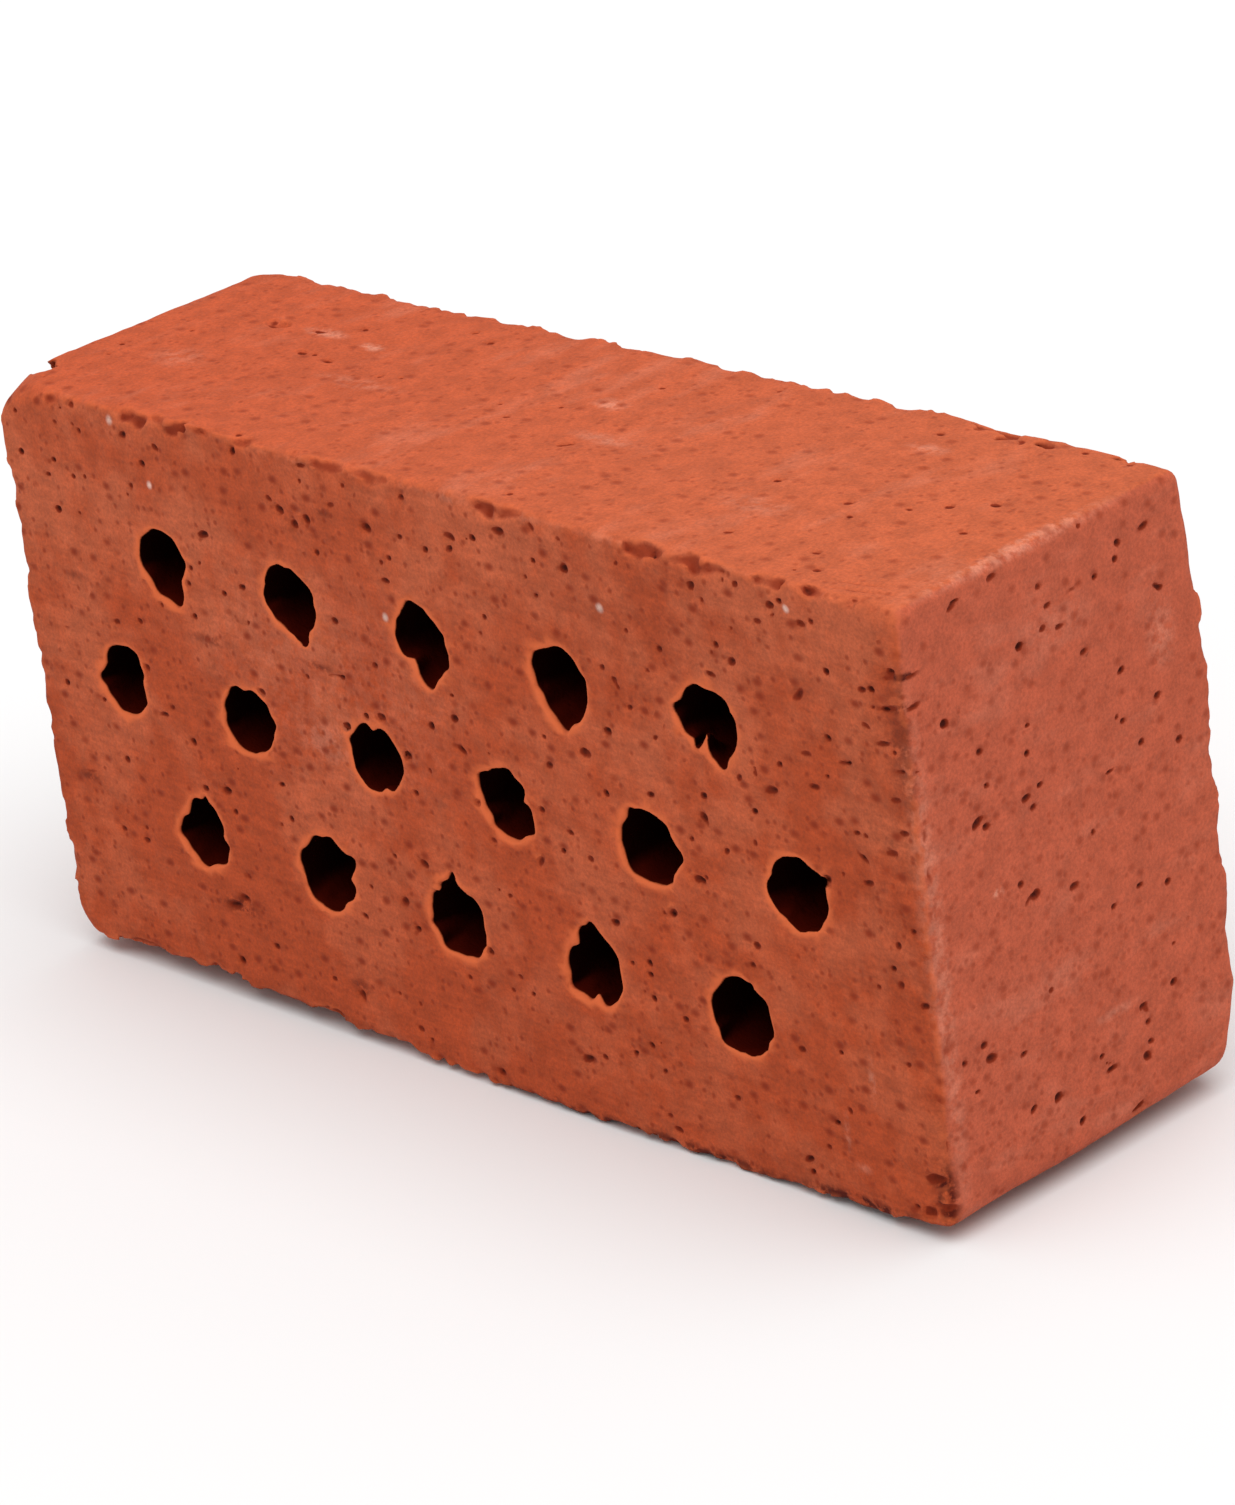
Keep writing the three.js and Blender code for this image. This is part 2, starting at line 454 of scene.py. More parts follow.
def bite(field, centre, radii, roughness):
    """Takes a rough ellipsoid of clay out of the field."""
    # The roughness can carry its edge out to 1.6 of its radii.
    i, j, k = (window(axis, c, 1.8 * r) for axis, c, r in zip(AXES, centre, radii))
    offsets = (X3[i] - centre[0], Y3[:, j] - centre[1], Z3[:, :, k] - centre[2])
    spread = np.sqrt(sum((offset / r) ** 2 for offset, r in zip(offsets, radii)))
    inside = (1 - spread + CHIP_ROUGHNESS * roughness[i, j, k]) * min(radii)
    field[i, j, k] = np.maximum(field[i, j, k], inside)


def chip_arrises(field):
    """Chips along the arrises of both bed faces, where the wire tore the clay."""
    rng = stream("chips")
    roughness = noise(AXES, (1.5, 1.0, 1.0), stream("chip roughness")).clip(-2, 2)
    for (face, level), (in_y, in_z, chips) in ARRIS_CHIPS.items():
        y = LOW[1] if face == "front" else HIGH[1]
        z = LOW[2] if level == "bottom" else HIGH[2]
        for start, end in chips:
            bite(field, ((start + end) / 2, y, z), ((end - start) / 2 + 1, in_y, in_z), roughness)
    bite(field, *FLAKE, roughness)
    for y in (LOW[1], HIGH[1]):
        count, least, most = CHIPS_ALONG
        for z in (LOW[2], HIGH[2]):
            for x in rng.uniform(LOW[0] + CHIP_INSET, HIGH[0] - CHIP_INSET, count):
                bite(field, (x, y, z), rng.uniform(least, most), roughness)
        count, least, most = CHIPS_UP
        for x in (LOW[0], HIGH[0]):
            for z in rng.uniform(LOW[2] + CHIP_INSET, HIGH[2] - CHIP_INSET, count):
                bite(field, (x, y, z), rng.uniform(least, most), roughness)


# ---------------------------------------------------------------- the cores


def core_centres():
    """The place of every core, as (row, number in the row, x, z)."""
    for row, count in enumerate(CORES_PER_ROW):
        for number in range(count):
            u = (number - (count - 1) / 2) * CORE_PITCH
            v = ((len(CORES_PER_ROW) - 1) / 2 - row) * ROW_SPACING
            x = GRID_SLIP[0] + u * math.cos(GRID_TURN) - v * math.sin(GRID_TURN)
            z = GRID_SLIP[1] + u * math.sin(GRID_TURN) + v * math.cos(GRID_TURN) + MIDDLE
            yield row, number, x, z


def mouth_reach(directions, mouth):
    """How far beyond its core's wall a mouth reaches in each direction."""
    along_x, along_z, wider, *tears = mouth
    reach = wider + along_x * np.cos(directions) + along_z * np.sin(directions)
    for direction, torn, half_width in tears:
        turn = (directions - math.radians(direction) + math.pi) % (2 * math.pi) - math.pi
        reach += torn * np.exp(-((turn / math.radians(half_width)) ** 2))
    return reach


def random_mouth(rng):
    """A mouth on the back bed face, in the same terms as the front ones."""

    def tear():
        direction = rng.uniform(0, 360)
        torn = rng.choice((-1.0, 1.0, 1.3)) * rng.uniform(0.5, 1.4)
        return direction, torn, rng.uniform(9, 24)

    tears = [tear() for _ in range(rng.integers(2, 5))]
    return (*rng.normal(0, 0.35, 2), rng.uniform(0, 0.6), *tears)


def bore_cores(field):
    """Takes the cores out of the field. Their walls run true, and only their mouths are torn."""
    rng = stream("back mouths")
    grit = noise(AXES, (1.3, 2.2, 1.3), stream("core grit"))
    for row, number, x, z in core_centres():
        i, k = window(X, x, CORE_SURROUND), window(Z, z, CORE_SURROUND)
        dx, dz = X[i, None] - x, Z[None, k] - z
        directions = np.arctan2(dz, dx)
        front = mouth_reach(directions, FRONT_MOUTHS[row][number])
        back = mouth_reach(directions, random_mouth(rng))
        from_front = np.exp(-(((Y3 - LOW[1]) / MOUTH_DEPTH).clip(0) ** 2))
        from_back = np.exp(-(((HIGH[1] - Y3) / MOUTH_DEPTH).clip(0) ** 2))
        reach = front[:, None] * from_front + back[:, None] * from_back
        grain = WALL_GRAIN + MOUTH_GRAIN * (from_front + from_back)
        radius = CORE_RADIUS + reach + grain * grit[i, :, k]
        inside = radius - np.hypot(dx, dz)[:, None]
        field[i, :, k] = smooth_max(field[i, :, k], inside, MOUTH_ROUNDING)


# ---------------------------------------------------------------- from field to mesh


def carve():
    """The whole brick's field, and how far the chips have cut into its clay."""
    field = body_field()
    whole = field.copy()
    chip_arrises(field)
    chipped = field - whole
    bore_cores(field)
    return field, chipped


def surface(field):
    """The field's zero surface, as points in millimetres and the four corners of each face."""
    grid = openvdb.FloatGrid(MARGIN)
    grid.copyFromArray(np.clip(field, -MARGIN, MARGIN))
    points, _, quads = grid.convertToPolygons(isovalue=0.0, adaptivity=0.0)
    corner = np.array([axis[0] for axis in AXES])
    points = corner + points * VOXEL
    a, b, c, d = (points[quads[:, n]] for n in range(4))
    volume = np.einsum("ij,ij->", a, np.cross(b, c)) + np.einsum("ij,ij->", a, np.cross(c, d))
    return points, quads if volume > 0 else quads[:, ::-1]


def mesh_from(name, points, quads):
    """A mesh of quads."""
    mesh = bpy.data.meshes.new(name)
    mesh.vertices.add(len(points))
    mesh.vertices.foreach_set("co", points.astype(np.float32).ravel())
    mesh.loops.add(quads.size)
    mesh.loops.foreach_set("vertex_index", quads.astype(np.int32).ravel())
    mesh.polygons.add(len(quads))
    mesh.polygons.foreach_set("loop_start", np.arange(0, quads.size, 4, dtype=np.int32))
    mesh.update(calc_edges=True)
    return mesh


def thinned(mesh, triangles):
    """A copy of a mesh of quads with about this many triangles, fewest where it is flattest."""
    dense = bpy.data.objects.new("dense", mesh)
    bpy.context.scene.collection.objects.link(dense)
    thin = dense.modifiers.new("thin", "DECIMATE")
    thin.use_collapse_triangulate = True
    thin.ratio = min(1.0, triangles / (2 * len(mesh.polygons)))
    graph = bpy.context.evaluated_depsgraph_get()
    result = bpy.data.meshes.new_from_object(dense.evaluated_get(graph), depsgraph=graph)
    bpy.data.objects.remove(dense)
    return result


def largest_shell(points, quads):
    """Leaves out crumbs that the noise has cut loose from the brick."""
    label = np.arange(len(points))
    while True:
        lowest = label[quads].min(axis=1)
        before = label.copy()
        for n in range(4):
            np.minimum.at(label, quads[:, n], lowest)
        label = label[label]
        if np.array_equal(label, before):
            break
    names, sizes = np.unique(label, return_counts=True)
    kept = label == names[sizes.argmax()]
    number = np.cumsum(kept) - 1
    return points[kept], number[quads[kept[quads[:, 0]]]]


def strayed(points):
    """Moves points as the brick's corners have strayed from the square."""
    share = ((points - LOW) / (HIGH - LOW)).clip(0, 1)
    moved = points.copy()
    for (end, face, level), stray in CORNER_STRAY.items():
        weight = share[:, 0] if end == "right" else 1 - share[:, 0]
        weight = weight * (share[:, 1] if face == "back" else 1 - share[:, 1])
        weight = weight * (share[:, 2] if level == "top" else 1 - share[:, 2])
        moved += weight[:, None] * np.array(stray)
    sag = np.sin(math.pi * share[:, 0] ** SAG_SKEW) * (1 - share[:, 1]) * (1 - share[:, 2])
    moved[:, 2] -= LOWER_FRONT_SAG * sag
    return moved


# ---------------------------------------------------------------- what the material reads

# How far about each point the clay's crowding and its chips are averaged, and over how many places.
CROWDING_SPREAD = 0.7
CHIPPED_SPREAD = 0.4
PLACES_AVERAGED = 200


def mean_around(values, points, spread):
    """The grid's mean value over places scattered about each point by this spread."""
    origin = np.array([axis[0] for axis in AXES])
    offsets = stream("offsets").normal(0, spread, (PLACES_AVERAGED, 3))
    total = np.zeros(len(points))
    for offset in offsets - offsets.mean(axis=0):
        place = np.rint((points + offset - origin) / VOXEL).astype(int)
        place = np.clip(place, 0, np.array(values.shape) - 1)
        total += values[tuple(place.T)]
    return total / len(offsets)


def core_offsets(points):
    """Each point's offset (dx, dz) from the nearest core's axis, and that core's number."""
    axes = np.array([(x, z) for _, _, x, z in core_centres()])
    offsets = points[:, None, (0, 2)] - axes
    nearest = np.hypot(*offsets.T).T.argmin(axis=1)
    return offsets[np.arange(len(points)), nearest], nearest


def surface_measures(field, chipped, points):
    """What the material needs to know at each point, as shares of 1 or in millimetres.

    crowding: the share of clay close by, a half on a flat face, less on an arris, more in a pit
    chipped: how far the clay there has been chipped
    from_end, from_bed, from_stretcher: how far in from the nearer of each pair of faces
    from_wall: how far out from the wall of the nearest core
    """
    clay = np.clip(0.5 - field / VOXEL, 0, 1)
    from_end, from_bed, from_stretcher = np.minimum(points - LOW, HIGH - points).T
    offsets, _ = core_offsets(points)
    return {
        "crowding": mean_around(clay, points, CROWDING_SPREAD),
        "chipped": mean_around(chipped, points, CHIPPED_SPREAD),
        "from_end": from_end,
        "from_bed": from_bed,
        "from_stretcher": from_stretcher,
        "from_wall": np.hypot(*offsets.T) - CORE_RADIUS,
    }


# ---------------------------------------------------------------- the layout of its UVs

# The charts lie in a square, in millimetres: both beds and both stretchers stacked on the left,
# the two headers side by side on the right, and the cores' walls in rows above them.
CHART_GAP = 2.0
CORE_CHART_SCALE = 0.75
CORE_CHARTS_PER_ROW = 4
LAYOUT_SIDE = LENGTH + 2 * THICKNESS + 4 * CHART_GAP
RIGHT_COLUMN = LENGTH + 2 * CHART_GAP

# A triangle this near a core's wall goes on the core's chart if it is this deep in the brick, or
# if its normal leans this little along y.
CORE_CHART_REACH = 3.0
CORE_CHART_DEPTH = 2.0
CORE_CHART_LEAN = 0.6

# Each face's chart: the axes it runs along, whether the first is turned round, and its place.
FACE_CHARTS = {
    "front": (0, 2, False, (CHART_GAP, CHART_GAP)),
    "back": (0, 2, True, (CHART_GAP, 2 * CHART_GAP + HEIGHT)),
    "top": (0, 1, False, (CHART_GAP, 3 * CHART_GAP + 2 * HEIGHT)),
    "bottom": (0, 1, True, (CHART_GAP, 4 * CHART_GAP + 2 * HEIGHT + THICKNESS)),
    "left": (1, 2, True, (RIGHT_COLUMN, CHART_GAP)),
    "right": (1, 2, False, (RIGHT_COLUMN + THICKNESS + CHART_GAP, CHART_GAP)),
}
# The face at the low and the high end of x, y and z, in that order.
LOW_AND_HIGH_FACES = ("left", "front", "bottom", "right", "back", "top")


def face_chart(name, points):
    """Places on the layout of points on one of the six faces."""
    across, up, turned, place = FACE_CHARTS[name]
    u = HIGH[across] - points[:, across] if turned else points[:, across] - LOW[across]
    return np.column_stack([u, points[:, up] - LOW[up]]) + place


def core_chart(points, middles):
    """A core wall unrolled: around the core, and along it. Each triangle stays in one piece."""
    offsets, core = core_offsets(middles)
    axes = middles[:, (0, 2)] - offsets
    around_middle = np.arctan2(offsets[:, 1], offsets[:, 0])
    dx, dz = (points[:, (0, 2)] - axes).T
    turn = np.arctan2(dz, dx) - around_middle
    turn -= 2 * math.pi * np.rint(turn / (2 * math.pi))
    around = (around_middle + turn + math.pi) * CORE_RADIUS * CORE_CHART_SCALE
    along = (points[:, 1] - LOW[1]) * CORE_CHART_SCALE
    row, column = np.divmod(core, CORE_CHARTS_PER_ROW)
    width = 2 * math.pi * CORE_RADIUS * CORE_CHART_SCALE + 2 * CHART_GAP
    height = THICKNESS * CORE_CHART_SCALE + CHART_GAP
    u = RIGHT_COLUMN + around + column * width
    v = HEIGHT + 2 * CHART_GAP + along + row * height
    return np.column_stack([u, v])


def lay_out(mesh, points, normals):
    """Gives a mesh of triangles its layer of UVs."""
    corners = np.empty(len(mesh.loops), np.int32)
    mesh.loops.foreach_get("vertex_index", corners)
    triangles = corners.reshape(-1, 3)
    middles = points[triangles].mean(axis=1)
    lean = np.abs(normals[triangles].mean(axis=1)[:, 1])
    depths = np.hstack([middles - LOW, HIGH - middles])
    face = depths.argmin(axis=1)
    offsets, _ = core_offsets(middles)
    near_core = np.hypot(*offsets.T) < CORE_RADIUS + CORE_CHART_REACH
    in_core = near_core & ((lean < CORE_CHART_LEAN) | (depths.min(axis=1) > CORE_CHART_DEPTH))
    middles = np.repeat(middles, 3, axis=0)
    face = np.where(in_core, len(LOW_AND_HIGH_FACES), face).repeat(3)
    places = points[corners]
    uv = np.empty((len(corners), 2))
    for number, name in enumerate(LOW_AND_HIGH_FACES):
        chosen = face == number
        uv[chosen] = face_chart(name, places[chosen])
    chosen = face == len(LOW_AND_HIGH_FACES)
    uv[chosen] = core_chart(places[chosen], middles[chosen])
    layer = mesh.uv_layers.new(name="OFBake")
    layer.data.foreach_set("uv", (uv / LAYOUT_SIDE).astype(np.float32).ravel())


# ---------------------------------------------------------------- the brick


def vectors(collection, attribute):
    """A mesh's vectors, one to a row."""
    values = np.empty(len(collection) * 3, np.float32)
    collection.foreach_get(attribute, values)
    return values.reshape(-1, 3).astype(float)


def build_brick():
    field, chipped = carve()
    mesh = thinned(mesh_from("brick", *largest_shell(*surface(field))), TRIANGLES)
    points = vectors(mesh.vertices, "co")
    normals = vectors(mesh.vertex_normals, "vector")
    for name, values in surface_measures(field, chipped, points).items():
        attribute = mesh.attributes.new(name, "FLOAT", "POINT")
        attribute.data.foreach_set("value", values.astype(np.float32))
    lay_out(mesh, points, normals)
    mesh.vertices.foreach_set("co", (strayed(points) * MM).astype(np.float32).ravel())
    mesh.shade_smooth()
    mesh.update()
    brick = bpy.data.objects.new("brick", mesh)
    bpy.context.scene.collection.objects.link(brick)
    return brick


# ---------------------------------------------------------------- the fired clay


class Graph:
    """Builds a material's node tree, one call to a node."""

    def __init__(self, name):
        self.material = bpy.data.materials.new(name)
        self.material.use_nodes = True
        self.tree = self.material.node_tree
        self.shader = self.tree.nodes["Principled BSDF"]

    def set(self, socket, value):
        """Gives an input a value, or a link from another node's output."""
        if isinstance(value, bpy.types.NodeSocket):
            self.tree.links.new(value, socket)
        else:
            socket.default_value = value

    def node(self, kind, inputs, output=0, **settings):
        node = self.tree.nodes.new(kind)
        for name, value in settings.items():
            setattr(node, name, value)
        for key, value in inputs.items():
            self.set(node.inputs[key], value)
        return node.outputs[output]

    def attribute(self, name):
        return self.node("ShaderNodeAttribute", {}, "Fac", attribute_name=name)

    def math(self, operation, *values):
        return self.node("ShaderNodeMath", dict(enumerate(values)), operation=operation)

    def vector_math(self, operation, *values, output=0):
        return self.node("ShaderNodeVectorMath", dict(enumerate(values)), output, operation=operation)

    def remap(self, value, start, end, low=0.0, high=1.0):
        """Value carried smoothly from start..end to low..high, and held there beyond."""
        inputs = {"Value": value, "From Min": start, "From Max": end, "To Min": low, "To Max": high}
        return self.node("ShaderNodeMapRange", inputs, interpolation_type="SMOOTHSTEP")

    def noise(self, place, size, detail=2.0, roughness=0.5):
        """Noise from 0 to 1 with lumps of about this size, in millimetres."""
        inputs = {"Vector": place, "Scale": 1 / size, "Detail": detail, "Roughness": roughness}
        return self.node("ShaderNodeTexNoise", inputs)

    def mix(self, factor, a, b, blend_type="MIX"):
        inputs = {0: factor, 6: a, 7: b}
        return self.node("ShaderNodeMix", inputs, 2, data_type="RGBA", blend_type=blend_type)

    def shade(self, colour, factor):
        """A colour made lighter or darker by a factor around 1."""
        return self.mix(1.0, colour, factor, "MULTIPLY")

    def dots(self, place, spacing, radius, share):
        """Soft dots scattered over the surface, in a share of the cells this far apart."""
        inputs = {"Vector": place, "Scale": 1 / spacing}
        distance = self.node("ShaderNodeTexVoronoi", inputs, "Distance")
        chance = self.node("ShaderNodeTexVoronoi", inputs, "Color")
        chosen = self.math("LESS_THAN", self.node("ShaderNodeSeparateColor", {0: chance}), share)
        near = self.remap(distance, radius / spacing, 0.15 * radius / spacing)
        return self.math("MULTIPLY", near, chosen)

    def patch(self, place, centre, reach):
        """1 at the centre, fading to 0 at this reach along x, y and z."""
        offset = self.vector_math("SUBTRACT", place, centre)
        offset = self.vector_math("DIVIDE", offset, reach)
        distance = self.vector_math("LENGTH", offset, output="Value")
        return self.remap(distance, 1.0, 0.2)


# How far to either side of an arris one face's colour passes into the next.
SEAM = 0.6
# How dark and how light the grain makes the clay, and how rough its shine is from one to the other.
GRAIN = (0.82, 1.16)
ROUGHNESS = (0.84, 0.96)
BUMP_DEPTH = 0.35

# Colours of the clay, in linear light.
CLAY = (0.418, 0.065, 0.019, 1)
CLAY_PALE = (0.495, 0.106, 0.043, 1)
DIE_SKIN_LEFT = (0.495, 0.085, 0.029, 1)
DIE_SKIN_RIGHT = (0.520, 0.108, 0.041, 1)
# The headers' skin: partly the die's pinker skin, partly a cooler tint painted in for the cooler light on
# the right header.
HEADER_SKIN_AND_COOL_LIGHT = (0.470, 0.094, 0.045, 1)
# Pale salt bloom, also used for the painted highlights along three arrises.
BLOOM_AND_HIGHLIGHT = (0.72, 0.30, 0.20, 1)
LIME = (0.75, 0.50, 0.42, 1)
# Painted highlight: the pale orange on the arrises and round the cores' mouths.
PAINTED_HIGHLIGHT = (0.72, 0.145, 0.046, 1)
# Dark stains, also used as painted shade along arrises and in hollows.
STAIN_AND_SHADE = (0.100, 0.009, 0.003, 1)
# Dark grit, also used for painted shade in chips and shallow hollows.
SPECK_AND_SHADE = (0.235, 0.025, 0.006, 1)
# Pits: painted shade, with the clay's darker colour there.
PIT_AND_SHADE = (0.065, 0.006, 0.002, 1)
# Painted shade inside the cores: near black on the walls, dark red on the upward facing floor where light
# from above falls.
CORE_SHADE = (0.006, 0.0005, 0.0003, 1)
CORE_LIT_FLOOR = (0.045, 0.003, 0.001, 1)


def clay_body(graph, place, cut, header):
    """The clay's colour: the wire's cut, the die's skin, and the headers' pinker skin, partly the die's
    skin and partly a cooler tint painted in for the cooler light on the right header.

    The cut clay is patchy, and paler towards the top.
    """
    along = graph.remap(graph.node("ShaderNodeSeparateXYZ", {0: place}, "X"), LOW[0], HIGH[0])
    height = graph.node("ShaderNodeSeparateXYZ", {0: place}, "Z")
    paler = graph.remap(height, LOW[2], HIGH[2], -0.42, 0.12)
    patches = graph.remap(graph.noise(place, 20, 4, 0.65), 0.36, 0.64)
    cut_clay = graph.mix(graph.math("ADD", patches, paler), CLAY, CLAY_PALE)
    skin = graph.mix(along, DIE_SKIN_LEFT, DIE_SKIN_RIGHT)
    # The headers' tint: partly the die's skin, partly painted light standing for cooler light on the
    # right header.
    skin = graph.mix(header, skin, HEADER_SKIN_AND_COOL_LIGHT)
    drawn_out = graph.vector_math("MULTIPLY", place, (1, 0.4, 1))
    bloom = graph.remap(graph.noise(drawn_out, 9, 4, 0.6), 0.5, 0.75, 0, 0.16)
    return graph.mix(cut, graph.mix(bloom, skin, BLOOM_AND_HIGHLIGHT), cut_clay)


def clay_blooms_and_highlights(graph, place, colour):
    """Salt that has bloomed in patches, painted highlights along three arrises, and grains of lime."""
    ragged = graph.remap(graph.noise(place, 2.2, 4, 0.65), 0.35, 0.6)
    for centre, reach, strength in BLOOMS_AND_HIGHLIGHTS:
        patch = graph.math("MULTIPLY", graph.patch(place, centre, reach), ragged)
        colour = graph.mix(graph.math("MULTIPLY", patch, strength), colour, BLOOM_AND_HIGHLIGHT)
    for x, z, radius in LIME_GRAINS:
        grain = graph.patch(place, (x, LOW[1], z), (radius, 3, radius))
        colour = graph.mix(graph.math("MULTIPLY", grain, 0.8), colour, LIME)
    return colour


def clay_stains_and_shade(graph, place, colour):
    """Dark stains and painted shade, broken up into blots."""
    blots = graph.remap(graph.noise(place, 2.8, 4, 0.65), 0.38, 0.54, 0, 1.5)
    for centre, reach, strength in STAINS_AND_SHADE:
        patch = graph.math("MULTIPLY", graph.patch(place, centre, reach), blots)
        colour = graph.mix(graph.math("MULTIPLY", patch, strength), colour, STAIN_AND_SHADE)
    return colour


def clay_highlights_and_shade(graph, colour, from_wall):
    """Painted highlights on arrises and a painted pale halo round the cores' mouths, and dark in chips
    and pits: painted shade, with the clay's darker colour there.
    """
    crowding = graph.attribute("crowding")
    # Chips darkened: painted shade in them, with the exposed clay's darker colour.
    colour = graph.mix(graph.remap(graph.attribute("chipped"), 0.1, 0.7, 0, 0.85), colour, SPECK_AND_SHADE)
    # A painted pale halo round the cores' mouths.
    mouth_halo = graph.remap(crowding, 0.48, 0.37, 0, 0.8)
    mouth_halo = graph.math("MULTIPLY", mouth_halo, graph.remap(from_wall, 4.5, 3.0))
    colour = graph.mix(mouth_halo, colour, PAINTED_HIGHLIGHT)
    # A painted highlight on the arrises, where they catch the light.
    colour = graph.mix(graph.remap(crowding, 0.45, 0.33, 0, 0.3), colour, PAINTED_HIGHLIGHT)
    # Hollows and pits darkened by how much clay crowds round them: painted shade, with the clay's darker
    # colour there.
    colour = graph.mix(graph.remap(crowding, 0.515, 0.60), colour, SPECK_AND_SHADE)
    return graph.mix(graph.remap(crowding, 0.59, 0.73), colour, PIT_AND_SHADE)


def inside_cores(graph, from_wall, from_bed, normal):
    """1 on the cores' walls from just inside their mouths, and 0 on the faces around them."""
    outward = graph.math("ABSOLUTE", graph.node("ShaderNodeSeparateXYZ", {0: normal}, "Y"))
    wall = graph.math("MULTIPLY", graph.remap(outward, 0.85, 0.6), graph.remap(from_bed, 0.0, 0.4))
    wall = graph.math("MAXIMUM", wall, graph.remap(from_bed, 1.0, 1.6))
    return graph.math("MULTIPLY", wall, graph.remap(from_wall, 3.5, 2.5))


def clay_specks(graph, place, cut):
    """Grit just under the surface, more of it where the wire cut."""
    squat = graph.vector_math("MULTIPLY", place, (0.7, 0.9, 1))
    large = graph.math("MULTIPLY", graph.dots(squat, 3.1, 1.15, 0.55), 0.9)
    small = graph.math("MULTIPLY", graph.dots(place, 1.7, 0.75, 0.3), 0.7)
    specks = graph.math("MAXIMUM", large, small)
    return graph.math("MULTIPLY", specks, graph.remap(cut, 0, 1, 0.6, 1.0))


def clay_material():
    """Fired clay: mottled and grained, dark with painted shade in its pits, chips and cores, and paler
    with painted highlights on its arrises.
    """
    graph = Graph("fired_clay_look")
    place = graph.node("ShaderNodeTexCoord", {}, "Object")
    place = graph.vector_math("DIVIDE", place, (MM, MM, MM))
    normal = graph.node("ShaderNodeNewGeometry", {}, "Normal")
    from_end, from_bed = graph.attribute("from_end"), graph.attribute("from_bed")
    from_stretcher, from_wall = graph.attribute("from_stretcher"), graph.attribute("from_wall")
    from_die = graph.math("MINIMUM", from_end, from_stretcher)
    cut = graph.remap(graph.math("SUBTRACT", from_die, from_bed), -SEAM, SEAM)
    header = graph.remap(graph.math("SUBTRACT", from_stretcher, from_end), -SEAM, SEAM)

    colour = clay_blooms_and_highlights(graph, place, clay_body(graph, place, cut, header))
    colour = clay_stains_and_shade(graph, place, colour)
    mottle = graph.remap(graph.noise(place, 4, 3), 0.3, 0.7, 0.90, 1.08)
    grain = graph.remap(graph.noise(place, 0.6, 3, 0.7), 0.25, 0.75, *GRAIN)
    along_wire = graph.vector_math("MULTIPLY", place, (0.1, 1, 1))
    drag = graph.remap(graph.noise(along_wire, 1.2, 3), 0.3, 0.7, 0.92, 1.06)
    drag = graph.math("MULTIPLY_ADD", graph.math("SUBTRACT", drag, 1.0), cut, 1.0)
    for factor in (mottle, grain, drag):
        colour = graph.shade(colour, factor)
    specks = clay_specks(graph, place, cut)
    colour = clay_highlights_and_shade(graph, graph.mix(specks, colour, SPECK_AND_SHADE), from_wall)
    # Inside the cores the colour is painted shade, lighter on the upward facing floor where light from
    # above falls.
    core = inside_cores(graph, from_wall, from_bed, normal)
    upward = graph.remap(graph.node("ShaderNodeSeparateXYZ", {0: normal}, "Z"), 0.2, 1.0)
    colour = graph.mix(core, colour, graph.mix(upward, CORE_SHADE, CORE_LIT_FLOOR))

    bumps = graph.math("MULTIPLY_ADD", graph.noise(place, 0.5, 3), 0.6, graph.noise(place, 1.8, 2))
    bumps = graph.math("MULTIPLY_ADD", drag, 1.0, bumps)
    bumps = graph.math("MULTIPLY_ADD", specks, -0.8, bumps)
    bump = {"Strength": 0.6, "Distance": BUMP_DEPTH * MM, "Height": bumps}
    inputs = graph.shader.inputs
    graph.set(inputs["Base Color"], colour)
    graph.set(inputs["Roughness"], graph.remap(grain, *GRAIN, *ROUGHNESS))
    graph.set(inputs["Specular IOR Level"], graph.remap(core, 0, 1, 0.2, 0.0))
    graph.set(inputs["Normal"], graph.node("ShaderNodeBump", bump))
    return graph.material


# ---------------------------------------------------------------- stage

FLOOR_ALBEDO = 0.82
# How many times the brick's own size the floor reaches on each side.
FLOOR_REACH = 200

# The sky lights from all round, and a wide soft lamp from above and a little to the front right.
SKY_LIGHT = 0.6
SKY_SEEN = 1.0
LAMP_LIGHT = 0.68 * math.pi
LAMP_WIDTH = math.radians(70)
LAMP_TOWARDS = (0.25, -0.12, 0.96)

# Where the camera stands, around the brick and above it, and how far it is tipped to one side.
CAMERA_AZIMUTH = math.radians(49.04)
CAMERA_ELEVATION = math.radians(22.64)
CAMERA_ROLL = math.radians(8.06)
CAMERA_DISTANCE = 969.5
# What it looks at, from the brick's middle.
CAMERA_AIM = (4.44, 0.74, -6.89)
CAMERA_LENS = 139.7


def link(name, data):
    thing = bpy.data.objects.new(name, data)
    bpy.context.scene.collection.objects.link(thing)
    return thing


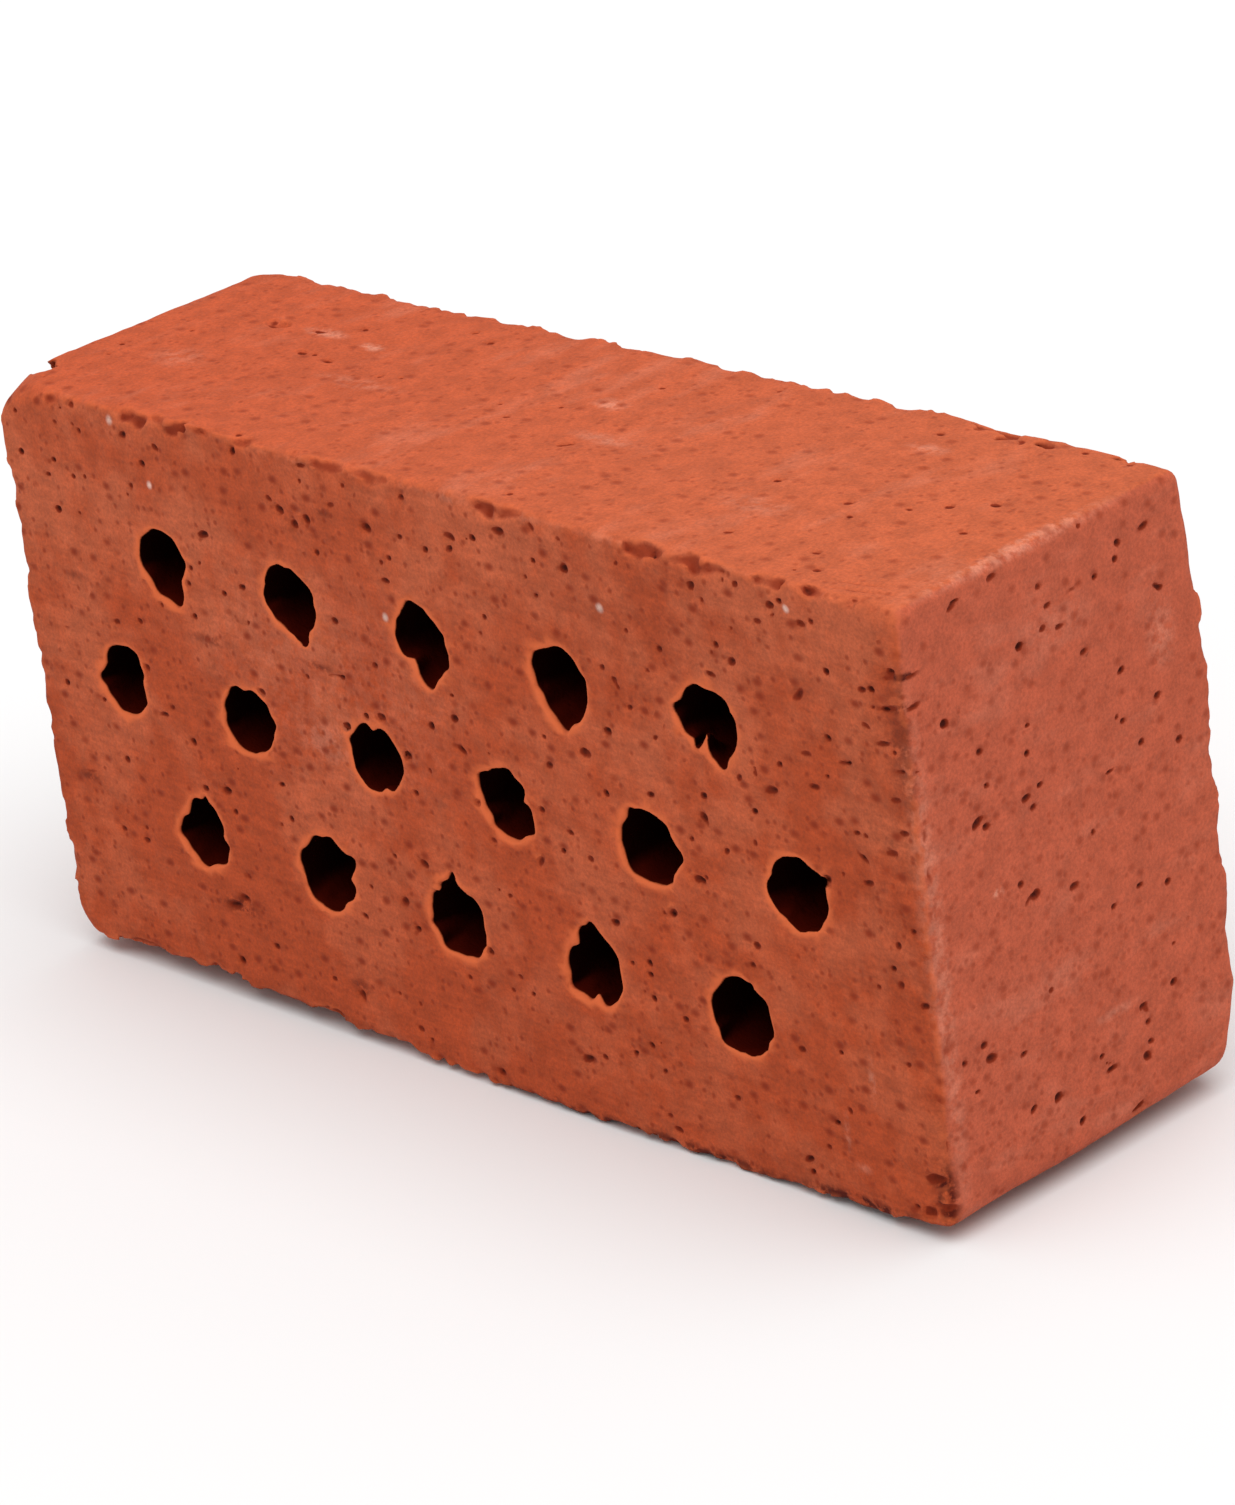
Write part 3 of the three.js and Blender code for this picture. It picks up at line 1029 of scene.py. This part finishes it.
def add_floor():
    low, high = (Vector(corner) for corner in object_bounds())
    reach = FLOOR_REACH * (high - low).length
    mesh = bpy.data.meshes.new("floor")
    corners = [(x * reach, y * reach, low.z) for x, y in ((-1, -1), (1, -1), (1, 1), (-1, 1))]
    mesh.from_pydata(corners, [], [(0, 1, 2, 3)])
    graph = Graph("floor_look")
    inputs = graph.shader.inputs
    graph.set(inputs["Base Color"], (FLOOR_ALBEDO, FLOOR_ALBEDO, FLOOR_ALBEDO, 1))
    graph.set(inputs["Roughness"], 1.0)
    graph.set(inputs["Specular IOR Level"], 0.0)
    mesh.materials.append(graph.material)
    link("floor", mesh)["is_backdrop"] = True


def add_light():
    world = bpy.data.worlds.new("studio")
    world.use_nodes = True
    nodes, links = world.node_tree.nodes, world.node_tree.links
    seen = nodes.new("ShaderNodeLightPath").outputs["Is Camera Ray"]
    strength = nodes.new("ShaderNodeMapRange")
    strength.inputs["To Min"].default_value = SKY_LIGHT
    strength.inputs["To Max"].default_value = SKY_SEEN
    links.new(seen, strength.inputs["Value"])
    sky = nodes["Background"].inputs
    sky["Color"].default_value = (1, 1, 1, 1)
    links.new(strength.outputs[0], sky["Strength"])
    bpy.context.scene.world = world
    lamp = bpy.data.lights.new("lamp", "SUN")
    lamp.energy = LAMP_LIGHT
    lamp.angle = LAMP_WIDTH
    towards = Vector(LAMP_TOWARDS)
    link("lamp", lamp).rotation_euler = towards.to_track_quat("Z", "Y").to_euler()


def place_camera():
    middle = Vector((LOW + HIGH) / 2)
    aim = (middle + Vector(CAMERA_AIM)) * MM
    level = math.cos(CAMERA_ELEVATION)
    outward = Vector((
        math.sin(CAMERA_AZIMUTH) * level,
        -math.cos(CAMERA_AZIMUTH) * level,
        math.sin(CAMERA_ELEVATION),
    ))
    turn = outward.to_track_quat("Z", "Y")
    tip = Quaternion(outward, -CAMERA_ROLL)
    data = bpy.data.cameras.new("camera")
    data.lens = CAMERA_LENS
    camera = link("camera", data)
    camera.location = aim + outward * CAMERA_DISTANCE * MM
    camera.rotation_euler = (tip @ turn).to_euler()
    bpy.context.scene.camera = camera


brick = build_brick()
brick.data.materials.append(clay_material())
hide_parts(NODE)
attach(brick, "root")
add_floor()
add_light()
place_camera()
bpy.context.scene.view_settings.view_transform = "Standard"
